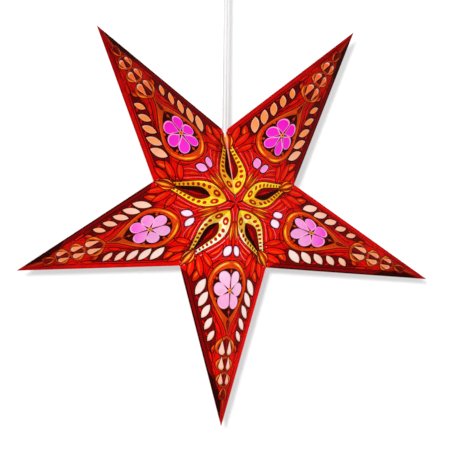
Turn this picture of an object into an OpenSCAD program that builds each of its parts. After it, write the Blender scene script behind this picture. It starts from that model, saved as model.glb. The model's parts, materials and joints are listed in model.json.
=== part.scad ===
// Folded paper star lantern with five hollow arms, lit from inside by a bulb
// in a lampholder that hangs on its cord from a ceiling cup.
// Millimetres, +Z up, front towards -Y. The origin is on the ceiling,
// in the middle between the two screw holes of the ceiling bracket.

/* [Star] */
// Distance from the middle of the star to the tip of each arm
star_reach = 300; // [280:1:340]
// Distance from the middle of the star to each inner corner
corner_reach = 102.5; // [99:0.5:110]
// Height of the front and back points over the middle plane
star_half_depth = 80; // [74:1:95]
// Angle at which the closing seam at the top stands open
seam_gap = 1.5; // [0.5:0.1:3]
// Distance from the ceiling down to the middle of the star
star_drop = 340; // [330:1:600]

/* [Card and tissue] */
// Thickness of the printed card
card_t = 0.4; // [0.3:0.05:0.6]
// Thickness of the coloured tissue behind the cut-outs
tissue_t = 0.2; // [0.1:0.05:0.3]
// Width of the glue tab along the outer edge of each arm
edge_tab_w = 11; // [8:0.5:12]
// Width of the glue tab along each valley
valley_tab_w = 15; // [10:0.5:17]
// Distance by which every glue tab stops short of the ends of its fold
tab_setback = 8; // [7:0.5:12]
// Distance by which tissue laps past the cut-outs that it covers
tissue_lap = 2.5; // [1.5:0.5:3]

/* [Rosette cut-outs] */
// Distance from the front point to the middle of the rosette, along the ridge
rosette_at = 122; // [118:1:126]
// Reach of the petals along the ridge
petal_reach = 29; // [27:0.5:31]
// Reach of the petals across the arm
petal_reach_side = 25; // [23.5:0.5:27]
// Radius of the bare hub inside the petals
petal_hub = 4.5; // [4:0.5:7]
// Width of a petal
petal_w = 16.5; // [10:0.5:17]
// Petals on each side of the ridge
petals_a_side = 3; // [2:1:3]

/* [Edge cut-outs] */
// Leaves in the row along each edge
row_leaves = 5; // [3:1:5]
// Distance from the inner corner to the middle of the first leaf, along the edge
row_start = 34; // [30:0.5:37]
// Distance between the middles of two leaves, along the edge
row_pitch = 17; // [15:0.5:17.5]
// Length of the first leaf
leaf_len = 26; // [18:0.5:27]
// Width of the first leaf
leaf_w = 10; // [6:0.5:10.5]
// Share of its size that each leaf loses against the first, per step
leaf_taper = 0.09; // [0.05:0.01:0.12]
// Angle between a leaf and the edge
leaf_lean = 52; // [45:1:65]
// Bare card between a cut-out and the nearest glue tab
cut_margin = 3; // [2.5:0.5:4]

/* [Tip and middle cut-outs] */
// Distance from the front point to the head of the first drop, along the ridge
drop_start = 207; // [205:0.5:208]
// Distance between the heads of two drops
drop_pitch = 21; // [19:0.5:21.5]
// Drops on each side of the ridge
drops_a_side = 3; // [1:1:3]
// Length of the first drop
drop_len = 18; // [12:0.5:18]
// Width of the first drop
drop_w = 8; // [5:0.5:8]
// Share of its size that each drop loses against the first, per step
drop_taper = 0.12; // [0.05:0.01:0.2]
// Distance from the front point to the middle of the bud, along the ridge
bud_at = 68; // [65:1:71]
// Length of the bud on each side of the ridge
bud_len = 16; // [10:0.5:17]
// Width of the bud
bud_w = 9; // [5:0.5:9.5]
// Angle between the bud and the ridge
bud_lean = 35; // [30:1:45]
// Bare card on each side of the ridge fold
ridge_margin = 3; // [2:0.5:4]

/* [Closing seam] */
// Width of the loose flap that closes the star
flap_w = 19; // [18:0.5:20]
// Thickness of one hook or loop pad
pad_t = 0.8; // [0.5:0.1:1]
// Side of a square pad
pad_side = 13; // [10:0.5:14]
// Distance from the front point to the middle of the lower pad, along the seam
pad_at = 44; // [42:0.5:48]
// Distance between the two pads of a flap
pad_spacing = 44; // [36:0.5:48]
// Radius of the cut for the cord at the upper inner corner
cord_cut_r = 3.75; // [3.5:0.25:4.5]

/* [Lampholder] */
// Outer radius of the lampholder
holder_r = 20; // [19:0.5:22]
// Wall of the cap and the body
holder_wall = 2; // [1.5:0.1:2.5]
// Height of the straight skirt below the dome of the cap
cap_skirt = 10; // [9:0.5:14]
// Length of the body below the cap
body_len = 42; // [41:0.5:50]
// Gap between the dome and the folds that rest on it
seat_gap = 0.3; // [0.2:0.05:0.5]
// Thickness of the contact carrier
carrier_t = 8; // [6:0.5:9]
// Inner radius of the screw sleeve
sleeve_r = 13.5; // [13.4:0.1:13.8]
// Length of the screw sleeve
sleeve_len = 27; // [24:0.5:27]
// Sheet thickness of the screw sleeve
sleeve_t = 0.4; // [0.3:0.05:0.5]

/* [Bulb] */
// Radius of the globe
bulb_r = 30; // [24:0.5:32]
// Whole length of the bulb
bulb_len = 108; // [100:1:115]
// Radius of its screw cap
bulb_cap_r = 13.1; // [12.8:0.1:13.2]
// Length of its screw cap
bulb_cap_len = 24; // [22:0.5:25]
// Radius of the neck just below the screw cap
bulb_neck_r = 14; // [13.5:0.25:15]

/* [Cord] */
// Diameter of the cord
cord_d = 5.5; // [5:0.1:6]
// Gap between the cord and the grips and holes that it passes
cord_gap = 0.15; // [0.1:0.05:0.3]

/* [Ceiling fitting] */
// Radius of the ceiling cup at its rim
cup_r = 45; // [42:0.5:55]
// Height of the ceiling cup
cup_h = 44; // [40:0.5:48]
// Radius of the round shoulder of the cup
cup_round = 24; // [15:0.5:26]
// Wall of the cup
cup_wall = 2; // [1.5:0.1:2.5]
// Distance between the two screw holes of the bracket
screw_spacing = 60; // [50:1:62]
// Radius of the screw holes
screw_hole_r = 2.25; // [2:0.05:2.5]
// Width of the bracket
bracket_w = 20; // [16:0.5:24]
// Sheet thickness of the bracket
bracket_t = 1.5; // [1:0.1:2]
// Length of the bent ears of the bracket
ear_len = 14; // [13:0.5:18]

/* [Hidden] */
$fn = 48;

card_red = "crimson";
tissue_magenta = "violet";
tissue_cream = "blanchedalmond";
tissue_orange = "orange";
tissue_pink = "plum";

// Thickness of a line of glue between two pieces of paper
glue_t = 0.02;
// Overlap that makes two folded layers of one sheet one solid
weld = 0.05;
// The strip that carries a tab round its fold starts and ends this far from the fold
fold_strip = [0.1, 1];
// A tab reaches this far past its fold, into the strip
fold_reach = 0.25;
// Gap between two arms along a valley
valley_gap = 0.02;
// Cutters reach this far past what they cut
cut_past = 1;

// Arms, numbered clockwise from the upper right one

arm_count = 5;
arm_step = (360 - seam_gap) / arm_count;
half_angle = arm_step / 2 - atan(valley_gap / 2 / corner_reach);
function arm_angle(i) = 90 - seam_gap / 2 - (i + 1 / 2) * arm_step;
last_arm = arm_count - 1;

// One half panel of an arm lies between the front point, an inner corner
// and the tip. Its own plane has s along the ridge from the front point,
// v across the arm and n outwards.

front_point = [0, -star_half_depth, 0];
tip_point = [star_reach, 0, 0];
function corner_point(angle) = corner_reach * [cos(angle), 0, sin(angle)];
function unit(p) = p / norm(p);
ridge_len = norm(tip_point - front_point);
s_dir = unit(tip_point - front_point);
to_corner = corner_point(half_angle) - front_point;
corner_s = to_corner * s_dir;
corner_v = norm(to_corner - corner_s * s_dir);
v_dir = unit(to_corner - corner_s * s_dir);
n_dir = cross(s_dir, v_dir);
panel_from_middle = front_point * n_dir;
valley_len = norm(to_corner);
edge_len = norm(tip_point - corner_point(half_angle));
valley_angle = atan2(corner_v, corner_s);
edge_angle = atan2(corner_v, ridge_len - corner_s);

// Every panel is equally far from the middle of the star, so a layer that
// lies a depth below the printed face is that face shrunk to the middle.
function shrink(depth) = (panel_from_middle - depth) / panel_from_middle;
function in_space(p) = front_point + p[0] * s_dir + p[1] * v_dir;

// A point on the half panel, given along the edge from the inner corner
// and inwards from that edge
function by_edge(along, in) = [
    corner_s + along * cos(edge_angle) - in * sin(edge_angle),
    corner_v - along * sin(edge_angle) - in * cos(edge_angle)
];
// A point given along the valley from the front point and inwards from it
function by_valley(along, in) = [
    along * cos(valley_angle) + in * sin(valley_angle),
    along * sin(valley_angle) - in * cos(valley_angle)
];

// Layers of paper

module flat_sheet(outline, depth_0, depth_1) {
    n = len(outline);
    points = [for (depth = [depth_0, depth_1], p = outline) in_space(p) * shrink(depth)];
    outer = [for (i = [0:n - 1]) i];
    inner = [for (i = [n - 1:-1:0]) n + i];
    sides = [for (i = [0:n - 1]) let (j = (i + 1) % n) [j, i, n + i, n + j]];
    polyhedron(points, concat([outer, inner], sides));
}

// The outline runs from the ridge round to the ridge; the sheet is folded there
module folded_sheet(outline, depth_0, depth_1) {
    n = len(outline);
    m = 2 * n;
    halves = [for (p = outline) [1, p], for (p = outline) [-1, p]];
    points = [
        for (depth = [depth_0, depth_1], h = halves)
            let (p = in_space(h[1]) * shrink(depth)) [p[0], p[1], h[0] * p[2]]
    ];
    // The two halves share the points at both ends of the ridge fold
    function low(i) = (i == 0 || i == n - 1) ? i : n + i;
    up_outer = [for (i = [0:n - 1]) i];
    low_outer = [for (i = [n - 1:-1:0]) low(i)];
    up_inner = [for (i = [n - 1:-1:0]) m + i];
    low_inner = [for (i = [0:n - 1]) m + low(i)];
    up_sides = [for (i = [0:n - 2]) [i + 1, i, m + i, m + i + 1]];
    low_sides = [for (i = [0:n - 2]) [low(i), low(i + 1), m + low(i + 1), m + low(i)]];
    polyhedron(points, concat(
        [up_outer, low_outer, up_inner, low_inner], up_sides, low_sides));
}

// The folded skin of an arm, open where it meets the middle of the star
module arm_skin() {
    corners = [
        tip_point, corner_point(half_angle), corner_point(-half_angle),
        front_point, -front_point
    ];
    points = [for (depth = [0, card_t], p = corners) p * shrink(depth)];
    polyhedron(points, [
        [3, 1, 0], [0, 2, 3], [0, 1, 4], [4, 2, 0],
        [5, 6, 8], [8, 7, 5], [9, 6, 5], [5, 7, 9],
        [1, 3, 8, 6], [3, 2, 7, 8], [4, 1, 6, 9], [2, 4, 9, 7]
    ]);
}

module front_and_back() {
    children();
    mirror([0, 1, 0]) children();
}
module both_sides() {
    children();
    mirror([0, 0, 1]) children();
}
module half_panels() front_and_back() both_sides() children();
module place_arm(i) translate([0, 0, -star_drop]) rotate([0, -arm_angle(i), 0]) children();
// Draws in the frame of the next arm, clockwise or counter-clockwise
module next_arm(turn) rotate([0, turn, 0]) children();

// Cut-outs, drawn on the half panel

function leaf_r(length, width) = (length * length + width * width) / (4 * width);
module leaf(length, width) {
    r = leaf_r(length, width);
    intersection() {
        translate([0, r - width / 2]) circle(r);
        translate([0, width / 2 - r]) circle(r);
    }
}
// Half of the room that a leaf takes across a line which it leans to. A steep
// leaf reaches furthest with its point, a flat one with its side.
function leaf_across(length, width, lean) = lean > 2 * atan(width / length)
    ? length * sin(lean) / 2
    : leaf_r(length, width) - (leaf_r(length, width) - width / 2) * cos(lean);

// The head is at the origin and the tail points back along the ridge. The sides
// of the tail run a little inside the head, so they cross it instead of touching it.
drop_bite = 0.05;
module drop(length, width) {
    r = width / 2;
    root = r - drop_bite;
    tail = length - r;
    turn = acos(root / tail);
    circle(r);
    polygon([[-tail, 0], root * [-cos(turn), sin(turn)], root * [-cos(turn), -sin(turn)]]);
}

function petal_end(angle) = 1 / norm([cos(angle) / petal_reach, sin(angle) / petal_reach_side]);
function leaf_size(i) = 1 - i * leaf_taper;
function leaf_in(i) = edge_tab_w + cut_margin
    + leaf_across(leaf_size(i) * leaf_len, leaf_size(i) * leaf_w, leaf_lean);
function drop_size(i) = 1 - i * drop_taper;
function drop_v(i) = ridge_margin + drop_size(i) * drop_w / 2;
bud_v = ridge_margin + leaf_across(bud_len, bud_w, bud_lean);

module petals() {
    for (k = [0:petals_a_side - 1]) {
        angle = (k + 0.5) * 180 / petals_a_side;
        reach = petal_end(angle);
        translate([rosette_at, 0]) rotate(angle) translate([reach - petal_w / 2, 0])
            drop(reach - petal_hub, petal_w);
    }
}
module leaf_row() {
    for (i = [0:row_leaves - 1])
        translate(by_edge(row_start + i * row_pitch, leaf_in(i)))
            rotate(leaf_lean - edge_angle)
                leaf(leaf_size(i) * leaf_len, leaf_size(i) * leaf_w);
}
module tip_drops() {
    for (i = [0:drops_a_side - 1])
        translate([drop_start + i * drop_pitch, drop_v(i)])
            drop(drop_size(i) * drop_len, drop_size(i) * drop_w);
}
module bud() translate([bud_at, bud_v]) rotate(bud_lean) leaf(bud_len, bud_w);

module cut_outs() {
    multmatrix([
        [s_dir[0], v_dir[0], n_dir[0], front_point[0]],
        [s_dir[1], v_dir[1], n_dir[1], front_point[1]],
        [s_dir[2], v_dir[2], n_dir[2], front_point[2]],
        [0, 0, 0, 1]
    ])
    translate([0, 0, -card_t - cut_past]) linear_extrude(card_t + 2 * cut_past) {
        petals();
        leaf_row();
        tip_drops();
        bud();
    }
}

// Glue tabs. Each valley tab grows from the clockwise rim of an arm and lies
// behind the next arm. The flap of the closing seam grows from the
// counter-clockwise rim of the first arm and lies behind the last one.

under_card = card_t + glue_t;
tab_back = under_card + card_t;
flap_depth = under_card + 2 * (pad_t + glue_t);
flap_back = flap_depth + card_t;

function tab_outline(width) = [
    by_valley(tab_setback, -fold_reach),
    by_valley(valley_len - tab_setback, -fold_reach),
    by_valley(valley_len - tab_setback - width, width),
    by_valley(tab_setback + width / tan(valley_angle) + ridge_margin, width)
];
strip_outline = [
    by_valley(tab_setback, fold_strip[0]),
    by_valley(valley_len - tab_setback, fold_strip[0]),
    by_valley(valley_len - tab_setback, fold_strip[1]),
    by_valley(tab_setback, fold_strip[1])
];
edge_tab_outline = [
    by_edge(tab_setback, 0),
    by_edge(edge_len - tab_setback, 0),
    by_edge(edge_len - edge_tab_w / tan(edge_angle) - tab_setback, edge_tab_w),
    by_edge(tab_setback + edge_tab_w, edge_tab_w)
];

module valley_tabs() {
    front_and_back() {
        mirror([0, 0, 1]) flat_sheet(strip_outline, card_t / 2, tab_back + weld);
        next_arm(arm_step) flat_sheet(tab_outline(valley_tab_w), under_card, tab_back);
    }
}
module edge_tab() mirror([0, 0, 1]) flat_sheet(edge_tab_outline, card_t / 2, 2 * card_t);

// The flap stands off by the two pads, so its root is a lip as deep as they are,
// and a narrow bridge takes it across the open seam
module closing_flap() {
    seam_side = (arm_step + seam_gap) / 2;
    function mirrored_in_seam(p) =
        let (across = [-sin(seam_side), 0, cos(seam_side)]) p - 2 * (p * across) * across;
    near = [
        in_space(by_valley(tab_setback, fold_reach)),
        in_space(by_valley(valley_len - tab_setback, fold_reach))
    ];
    bridge = [near[0], near[1], mirrored_in_seam(near[1]), mirrored_in_seam(near[0])];
    points = [for (depth = [flap_depth, flap_back], p = bridge) p * shrink(depth)];
    front_and_back() {
        flat_sheet(strip_outline, card_t / 2, flap_back + weld);
        polyhedron(points, [
            [3, 2, 1, 0], [4, 5, 6, 7],
            [0, 1, 5, 4], [1, 2, 6, 5], [2, 3, 7, 6], [3, 0, 4, 7]
        ]);
        next_arm(-arm_step - seam_gap) mirror([0, 0, 1])
            flat_sheet(tab_outline(flap_w), flap_depth, flap_back);
    }
}

module arm(i) color(card_red) {
    difference() {
        place_arm(i) {
            difference() {
                arm_skin();
                half_panels() cut_outs();
            }
            edge_tab();
            if (i != last_arm) valley_tabs();
            if (i == 0) closing_flap();
        }
        translate([0, 0, -star_drop]) cylinder(r = cord_cut_r, h = star_reach);
    }
}

// Tissue behind the cut-outs, glued to the inner face of the card

tissue_back = under_card + tissue_t;
row_end = row_start + (row_leaves - 1) * row_pitch;
// Half of the room that a leaf takes along the edge
function leaf_along(i) = leaf_across(leaf_size(i) * leaf_len, leaf_size(i) * leaf_w, 90 - leaf_lean);
last_drop = drop_start + (drops_a_side - 1) * drop_pitch;

rosette_tissue = [
    [rosette_at - petal_reach - tissue_lap, 0],
    [rosette_at - petal_reach, petal_reach_side / 2 + tissue_lap],
    [rosette_at - petal_reach / 3, petal_reach_side + tissue_lap],
    [rosette_at + petal_reach / 3, petal_reach_side + tissue_lap],
    [rosette_at + petal_reach, petal_reach_side / 2 + tissue_lap],
    [rosette_at + petal_reach + tissue_lap, 0]
];
row_outer = edge_tab_w + cut_margin - tissue_lap;
function row_inner(i) = 2 * leaf_in(i) - row_outer;
row_tissue = [
    by_edge(row_start - leaf_along(0) - tissue_lap, row_inner(0)),
    by_edge(row_start - leaf_along(0) - tissue_lap, row_outer),
    by_edge(row_end + leaf_along(row_leaves - 1) + tissue_lap, row_outer),
    by_edge(row_end + leaf_along(row_leaves - 1), row_inner(row_leaves - 1))
];
drop_tail = drop_start - drop_len + drop_w / 2;
function drop_outer(i) = 2 * drop_v(i) - ridge_margin;
tip_tissue = [
    [drop_tail - tissue_lap, 0],
    [drop_tail - tissue_lap, drop_v(0) + tissue_lap],
    [drop_start, drop_outer(0) + tissue_lap],
    [last_drop, drop_outer(drops_a_side - 1) + tissue_lap],
    [last_drop + drop_w + tissue_lap, 0]
];
bud_tissue = [
    [bud_at - bud_len / 2 - tissue_lap, 0],
    [bud_at - bud_len / 2, bud_v],
    [bud_at + bud_len / 4, 2 * bud_v],
    [bud_at + bud_len / 2 + tissue_lap, 2 * bud_v - ridge_margin],
    [bud_at + bud_len / 2 + tissue_lap, 0]
];

module magenta_paper(i) color(tissue_magenta)
    place_arm(i) front_and_back() folded_sheet(rosette_tissue, under_card, tissue_back);
module cream_paper(i) color(tissue_cream)
    place_arm(i) half_panels() flat_sheet(row_tissue, under_card, tissue_back);
module orange_paper(i) color(tissue_orange)
    place_arm(i) front_and_back() folded_sheet(tip_tissue, under_card, tissue_back);
module pink_paper(i) color(tissue_pink)
    place_arm(i) front_and_back() folded_sheet(bud_tissue, under_card, tissue_back);

// Pads on the closing seam: loops on the last arm, hooks on the flap

// Distance from the valley to the nearer side of a pad
pad_in = 3;
function pad_outline(at) = [
    by_valley(at - pad_side / 2, pad_in),
    by_valley(at + pad_side / 2, pad_in),
    by_valley(at + pad_side / 2, pad_in + pad_side),
    by_valley(at - pad_side / 2, pad_in + pad_side)
];
module seam_pads(depth_0) {
    place_arm(last_arm) front_and_back() mirror([0, 0, 1])
        for (at = [pad_at, pad_at + pad_spacing])
            flat_sheet(pad_outline(at), depth_0, depth_0 + pad_t);
}
module loop_pads() color("whitesmoke") seam_pads(under_card);
module hook_pads() color("lightgrey") seam_pads(under_card + pad_t + glue_t);

// Lampholder. The folds at the upper inner corner rest on the dome of its cap.

dome_up = corner_reach * shrink(flap_back)
    - (holder_r + seat_gap) * norm([corner_reach, star_half_depth]) / star_half_depth;
dome_z = dome_up - star_drop;
cord_r = cord_d / 2;
cord_hole_r = cord_r + cord_gap;

collar_r = 5;
collar_h = 3;
boss_r = 8;
boss_z = 14;
grip_h = 8;

inner_r = holder_r - holder_wall;
spigot_gap = 0.2;
spigot_h = 6;
// The carrier's top lies this far below the cap
ledge_drop = 4;
ledge_z = -cap_skirt - ledge_drop;
carrier_r = inner_r - holder_wall;
contact_t = 1.2;
contact_r = 4;
body_end = -cap_skirt - body_len;

module at_dome() translate([0, 0, dome_z]) children();

module lampholder_cap() color("white") at_dome() rotate_extrude() {
    difference() {
        union() {
            intersection() {
                circle(holder_r);
                square(holder_r);
            }
            translate([0, -cap_skirt]) square([holder_r, cap_skirt]);
            square([collar_r, holder_r + collar_h]);
        }
        difference() {
            union() {
                intersection() {
                    circle(inner_r);
                    square(inner_r);
                }
                translate([0, -cap_skirt]) square([inner_r, cap_skirt]);
            }
            translate([0, boss_z]) square([boss_r, inner_r]);
        }
        square([cord_hole_r, holder_r + collar_h]);
    }
}

module lampholder_body() color("white") at_dome() difference() {
    union() {
        translate([0, 0, body_end]) cylinder(r = holder_r, h = body_len);
        translate([0, 0, -cap_skirt]) cylinder(r = inner_r - spigot_gap, h = spigot_h);
    }
    translate([0, 0, ledge_z]) cylinder(r = carrier_r, h = body_len);
    translate([0, 0, body_end]) cylinder(r = sleeve_r + sleeve_t + spigot_gap, h = body_len);
    translate([0, 0, body_end]) cylinder(r = inner_r, h = ledge_z - sleeve_len - body_end);
}

module contact_carrier() color("linen") at_dome()
    translate([0, 0, ledge_z]) cylinder(r = carrier_r - spigot_gap, h = carrier_t);

module screw_sleeve() color("goldenrod") at_dome() translate([0, 0, ledge_z - sleeve_len])
    difference() {
        cylinder(r = sleeve_r + sleeve_t, h = sleeve_len);
        cylinder(r = sleeve_r, h = sleeve_len);
    }

module centre_contact() color("gold") at_dome()
    translate([0, 0, ledge_z - contact_t]) cylinder(r = contact_r, h = contact_t);

module holder_cord_grip() color("gainsboro") at_dome() translate([0, 0, boss_z - grip_h])
    difference() {
        cylinder(r = boss_r, h = grip_h);
        cylinder(r = cord_hole_r, h = grip_h);
    }

// Bulb, one sealed solid of revolution, drawn downwards from its contact tip

bulb_top = ledge_z - contact_t;
tip_h = 3;
globe_z = bulb_r - bulb_len;
cap_end = -tip_h - bulb_cap_len;
tip_flare = 1;
thread_rings = 6;
thread_depth = 0.5;
// Plain length of the screw cap below its last thread ring
cap_plain = 1;
neck_steps = 8;
// The neck leaves the screw cap straight and meets the globe along its slope
neck_meets = 45;
meet_r = bulb_r * sin(neck_meets);
meet_z = globe_z + bulb_r * cos(neck_meets);
neck_h = cap_end - meet_z;
function neck_r(t) = bulb_neck_r * (2 * t ^ 3 - 3 * t ^ 2 + 1) + meet_r * (3 * t ^ 2 - 2 * t ^ 3)
    + neck_h / tan(neck_meets) * (t ^ 3 - t ^ 2);
bulb_profile = concat(
    [[0, 0], [contact_r, 0], [contact_r + tip_flare, -tip_h], [bulb_cap_r - thread_depth, -tip_h]],
    [for (i = [0:thread_rings - 1], top = [true, false])
        let (pitch = (bulb_cap_len - cap_plain) / thread_rings)
        top ? [bulb_cap_r, -tip_h - pitch * (i + 0.5)]
            : [bulb_cap_r - thread_depth, -tip_h - pitch * (i + 1)]],
    [for (i = [0:neck_steps]) [neck_r(i / neck_steps), cap_end - neck_h * i / neck_steps]],
    [[0, meet_z]]
);

module light_bulb() color("ivory") at_dome() translate([0, 0, bulb_top]) {
    rotate_extrude() polygon(bulb_profile);
    translate([0, 0, globe_z]) sphere(bulb_r);
}

// Cord, hanging straight from the ceiling fitting to the contact carrier

block_size = [26, 18, 16];
cord_sides = 12;
cord_end = dome_z + ledge_z + carrier_t;
cord_start = -bracket_t - block_size[2];
cord_route = concat(
    [[0, 0, cord_start]],
    [for (z = [-30, -45, -60, -75, -90, -105, -120, -135, -150, -165, -180, -195, -210,
        -225, -240, -255, -270]) [0, 0, z]],
    [[0, 0, cord_end]]
);
module cord() color("white") {
    n = cord_sides;
    rings = len(cord_route);
    points = [for (p = cord_route, k = [0:n - 1])
        p + cord_r * [cos(360 * k / n), sin(360 * k / n), 0]];
    sides = [for (i = [0:rings - 2], k = [0:n - 1])
        let (a = i * n + k, b = i * n + (k + 1) % n) [a, b, b + n, a + n]];
    ends = [[for (k = [n - 1:-1:0]) k], [for (k = [0:n - 1]) (rings - 1) * n + k]];
    polyhedron(points, concat(sides, ends));
}

// Ceiling fitting

ear_gap = 0.2;
screw_r = 1.5;
screw_gap = 0.15;
screw_z = -8;
head_r = 3;
head_h = 2;
// A cup screw ends this far inside the ear
screw_inside = 1.5;
gland_r = 6;
flange_r = 9;
flange_h = 3;
nut_h = 4;
tube_r = 2.5;
wire_bore_r = 1.6;
tube_count = 3;
tube_pitch = 8;
cup_inner_r = cup_r - cup_wall;
// The ears stand just inside the round wall of the cup
ear_x = sqrt(cup_inner_r * cup_inner_r - bracket_w * bracket_w / 4) - ear_gap;

module ceiling_bracket() color("silver") difference() {
    union() {
        translate([-ear_x, -bracket_w / 2, -bracket_t]) cube([2 * ear_x, bracket_w, bracket_t]);
        for (x = [-ear_x, ear_x - bracket_t])
            translate([x, -bracket_w / 2, -ear_len]) cube([bracket_t, bracket_w, ear_len]);
    }
    for (side = [-1, 1])
        translate([side * screw_spacing / 2, 0, -bracket_t - cut_past])
            cylinder(r = screw_hole_r, h = bracket_t + 2 * cut_past);
    translate([-cup_r, 0, screw_z]) rotate([0, 90, 0])
        cylinder(r = screw_r + screw_gap, h = 2 * cup_r);
}

module cup_shape(r, h, round) {
    translate([0, round - h]) square([r, h - round]);
    translate([0, -h]) square([r - round, round]);
    intersection() {
        translate([r - round, round - h]) circle(round);
        translate([0, -h]) square([r, h]);
    }
}
module ceiling_cup() color("white") difference() {
    rotate_extrude() difference() {
        cup_shape(cup_r, cup_h, cup_round);
        cup_shape(cup_inner_r, cup_h - cup_wall, cup_round - cup_wall);
        translate([0, -cup_h]) square([gland_r, cup_h]);
    }
    translate([-cup_r - cut_past, 0, screw_z]) rotate([0, 90, 0])
        cylinder(r = screw_r + screw_gap, h = 2 * (cup_r + cut_past));
}

module cup_screws() color("silver") {
    screw_end = ear_x - bracket_t - screw_inside;
    for (side = [-1, 1])
        translate([0, 0, screw_z]) rotate([0, side * 90, 0]) {
            translate([0, 0, cup_r]) cylinder(r = head_r, h = head_h);
            translate([0, 0, screw_end]) cylinder(r = screw_r, h = cup_r + head_h / 2 - screw_end);
        }
}

module cup_gland() color("white") translate([0, 0, -cup_h - flange_h]) difference() {
    union() {
        cylinder(r = flange_r, h = flange_h);
        cylinder(r = gland_r - spigot_gap, h = flange_h + cup_wall + nut_h);
    }
    translate([0, 0, -cut_past])
        cylinder(r = cord_hole_r, h = flange_h + cup_wall + nut_h + 2 * cut_past);
}
module cup_gland_nut() color("gainsboro") translate([0, 0, cup_wall - cup_h]) difference() {
    cylinder(r = flange_r, h = nut_h, $fn = 6);
    translate([0, 0, -cut_past]) cylinder(r = gland_r - spigot_gap / 2, h = nut_h + 2 * cut_past);
}

module tubes(r) {
    for (i = [0:tube_count - 1])
        translate([(i - (tube_count - 1) / 2) * tube_pitch, -block_size[1] / 2,
            -bracket_t - block_size[2] / 2])
            rotate([-90, 0, 0]) cylinder(r = r, h = block_size[1]);
}
module terminal_block() color("ivory") difference() {
    translate([-block_size[0] / 2, -block_size[1] / 2, -bracket_t - block_size[2]])
        cube(block_size);
    tubes(tube_r + screw_gap);
}
module terminal_tubes() color("gold") difference() {
    tubes(tube_r);
    tubes(wire_bore_r);
}

arm(0);  // arm_upper_right
arm(1);  // arm_right
arm(2);  // arm_bottom
arm(3);  // arm_left
arm(4);  // arm_upper_left
magenta_paper(0);  // magenta_paper_upper_right
magenta_paper(1);  // magenta_paper_right
magenta_paper(2);  // magenta_paper_bottom
magenta_paper(3);  // magenta_paper_left
magenta_paper(4);  // magenta_paper_upper_left
cream_paper(0);  // cream_paper_upper_right
cream_paper(1);  // cream_paper_right
cream_paper(2);  // cream_paper_bottom
cream_paper(3);  // cream_paper_left
cream_paper(4);  // cream_paper_upper_left
orange_paper(0);  // orange_paper_upper_right
orange_paper(1);  // orange_paper_right
orange_paper(2);  // orange_paper_bottom
orange_paper(3);  // orange_paper_left
orange_paper(4);  // orange_paper_upper_left
pink_paper(0);  // pink_paper_upper_right
pink_paper(1);  // pink_paper_right
pink_paper(2);  // pink_paper_bottom
pink_paper(3);  // pink_paper_left
pink_paper(4);  // pink_paper_upper_left
loop_pads();
hook_pads();
lampholder_cap();
lampholder_body();
contact_carrier();
screw_sleeve();
centre_contact();
holder_cord_grip();
light_bulb();
cord();
ceiling_bracket();
ceiling_cup();
cup_screws();
cup_gland();
cup_gland_nut();
terminal_block();
terminal_tubes();
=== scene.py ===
"""Looks of the folded paper star lantern: printed card, glowing tissue, cord, fittings and studio."""

import json
import math

import bmesh
import bpy
from mathutils import Matrix, Vector
from mathutils.geometry import delaunay_2d_cdt

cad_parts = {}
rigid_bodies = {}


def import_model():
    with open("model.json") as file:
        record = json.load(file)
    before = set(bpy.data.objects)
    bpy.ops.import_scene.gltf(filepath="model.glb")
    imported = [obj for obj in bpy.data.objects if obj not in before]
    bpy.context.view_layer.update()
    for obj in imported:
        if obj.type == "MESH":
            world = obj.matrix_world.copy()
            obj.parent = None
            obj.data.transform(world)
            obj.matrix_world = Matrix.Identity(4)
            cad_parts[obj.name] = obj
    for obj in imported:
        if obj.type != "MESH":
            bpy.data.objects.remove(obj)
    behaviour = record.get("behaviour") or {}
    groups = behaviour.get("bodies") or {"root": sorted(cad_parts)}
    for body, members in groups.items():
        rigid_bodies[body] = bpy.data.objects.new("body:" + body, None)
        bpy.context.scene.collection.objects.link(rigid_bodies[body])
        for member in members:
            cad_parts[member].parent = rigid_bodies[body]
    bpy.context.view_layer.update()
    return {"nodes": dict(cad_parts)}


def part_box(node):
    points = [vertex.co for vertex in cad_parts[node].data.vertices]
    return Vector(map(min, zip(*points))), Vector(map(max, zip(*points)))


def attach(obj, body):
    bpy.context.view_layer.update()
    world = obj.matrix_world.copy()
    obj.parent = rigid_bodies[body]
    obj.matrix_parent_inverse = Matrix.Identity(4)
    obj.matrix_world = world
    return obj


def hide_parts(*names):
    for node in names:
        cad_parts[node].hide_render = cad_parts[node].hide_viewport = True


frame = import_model()
MM = 0.001

# Sizes of the star, in millimetres, as the solids have them

STAR_REACH = 300.0
CORNER_REACH = 102.5
HALF_DEPTH = 80.0
SEAM_GAP = 1.5
STAR_Z = -340.0
CARD = 0.4
GLUE = 0.02
VALLEY_GAP = 0.02
EDGE_TAB = 11.0
VALLEY_TAB = 15.0
FLAP = 19.0
SETBACK = 8.0
CORD_CUT = 3.75
PAD = 0.8
RIDGE_MARGIN = 3.0
CUT_MARGIN = 3.0

ARMS = ("upper_right", "right", "bottom", "left", "upper_left")
STEP = (360 - SEAM_GAP) / len(ARMS)
HALF = STEP / 2 - math.degrees(math.atan(VALLEY_GAP / 2 / CORNER_REACH))


def turned(x, z, degrees):
    """A place in the star's middle plane, turned counter-clockwise as seen from the front."""
    c, s = math.cos(math.radians(degrees)), math.sin(math.radians(degrees))
    return x * c - z * s, x * s + z * c


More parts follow.
